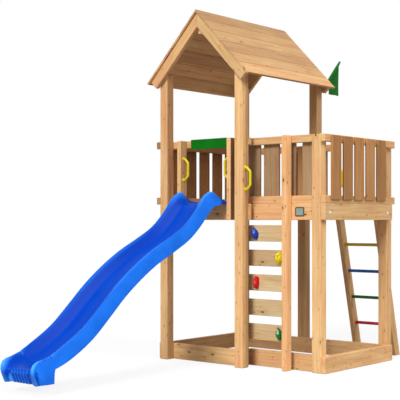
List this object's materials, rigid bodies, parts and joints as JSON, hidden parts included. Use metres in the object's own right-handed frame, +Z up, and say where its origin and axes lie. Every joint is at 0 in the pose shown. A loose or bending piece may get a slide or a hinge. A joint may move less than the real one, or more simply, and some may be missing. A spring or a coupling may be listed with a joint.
{
  "type": "play tower with slide",
  "caption": "Timber play tower with gable roof, railed balcony, wavy plastic slide, climbing wall and leaning ladder.",
  "frame": {"origin": "middle of the foot of the outer board of the front left post, on the ground", "axes": "+Z up; +X to the right along the front; +Y from the slide's side towards the ladder's side"},
  "size_m": [1.8459, 3.865, 3.1999],
  "materials": {
    "larch": "planed, pale, with pores and knots",
    "larch_roof": "planed boards",
    "slide_blue": "moulded polyethylene, soft gloss",
    "yellow_plastic": "moulded",
    "red_plastic": "moulded",
    "green_plastic": "moulded",
    "blue_plastic": "moulded",
    "green_cloth": "thin woven cloth"
  },
  "bodies": {
    "root": {"base_board_back": "larch", "base_board_balcony": "larch", "base_board_front": "larch", "base_board_left": "larch", "base_board_right": "larch", "beam_back": "larch", "beam_balcony": "larch", "beam_front": "larch", "beam_left": "larch", "beam_right": "larch", "climbing_hold_blue": "blue_plastic", "climbing_hold_green": "green_plastic", "climbing_hold_red": "red_plastic", "climbing_hold_yellow": "yellow_plastic", "climbing_plank_1": "larch", "climbing_plank_2": "larch", "climbing_plank_3": "larch", "climbing_plank_4": "larch", "climbing_plank_5": "larch", "climbing_upright_left": "larch", "climbing_upright_right": "larch", "entry_bar": "larch", "flag_cloth": "green_cloth", "flag_staff": "green_plastic", "handle_climbing": "yellow_plastic", "handle_ladder": "yellow_plastic", "handle_slide_left": "yellow_plastic", "handle_slide_right": "yellow_plastic", "ladder_rail_left": "larch", "ladder_rail_right": "larch", "ladder_rung_blue": "blue_plastic", "ladder_rung_green": "green_plastic", "ladder_rung_red": "red_plastic", "ladder_rung_yellow": "yellow_plastic", "ladder_upright": "larch", "platform_deck": "larch", "post_back_left": "larch", "post_back_middle": "larch", "post_back_right": "larch", "post_balcony_back": "larch", "post_balcony_front": "larch", "post_front_left_inner": "larch", "post_front_left_outer": "larch", "post_front_right_inner": "larch", "post_front_right_outer": "larch", "rafter_back_left": "larch", "rafter_back_right": "larch", "rafter_front_left": "larch", "rafter_front_right": "larch", "railing_back_left": "larch", "railing_back_right": "larch", "railing_front": "larch", "railing_left": "larch", "railing_right": "larch", "ridge_beam": "larch", "roof_boards_left": "larch_roof", "roof_boards_right": "larch_roof", "slide": "slide_blue", "slide_upright_left": "larch", "slide_upright_right": "larch"}
  },
  "joints": []
}
